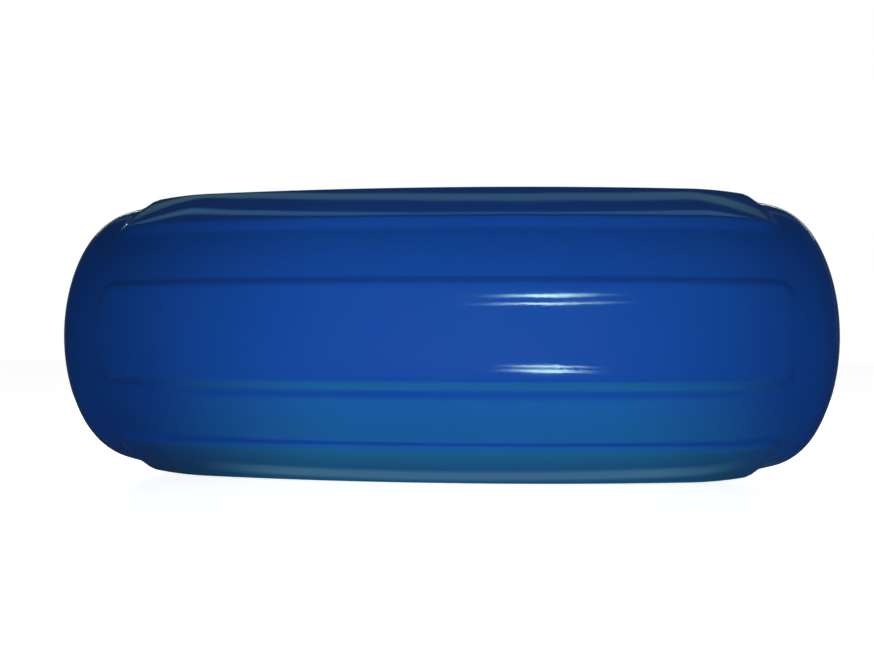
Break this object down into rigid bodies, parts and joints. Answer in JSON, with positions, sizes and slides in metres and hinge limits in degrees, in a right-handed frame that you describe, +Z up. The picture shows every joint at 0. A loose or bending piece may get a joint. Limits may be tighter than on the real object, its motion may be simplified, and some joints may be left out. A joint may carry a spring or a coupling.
{
  "type": "boat fender",
  "caption": "Inflated vinyl boat fender with raised lengthwise ribs, domed ends, a rope bore through its axis and a needle valve in one end.",
  "frame": {"origin": "on the ground under the middle of the fender as it lies on two of its ribs", "axes": "+X along the fender's axis towards the end with the valve, +Z up, and -Y is the side that the picture shows"},
  "size_m": [0.508, 0.1964, 0.1967],
  "materials": {
    "vinyl": "gloss",
    "rubber": "matte"
  },
  "bodies": {
    "root": {"fender_body": "vinyl", "needle_valve": "rubber"}
  },
  "joints": []
}
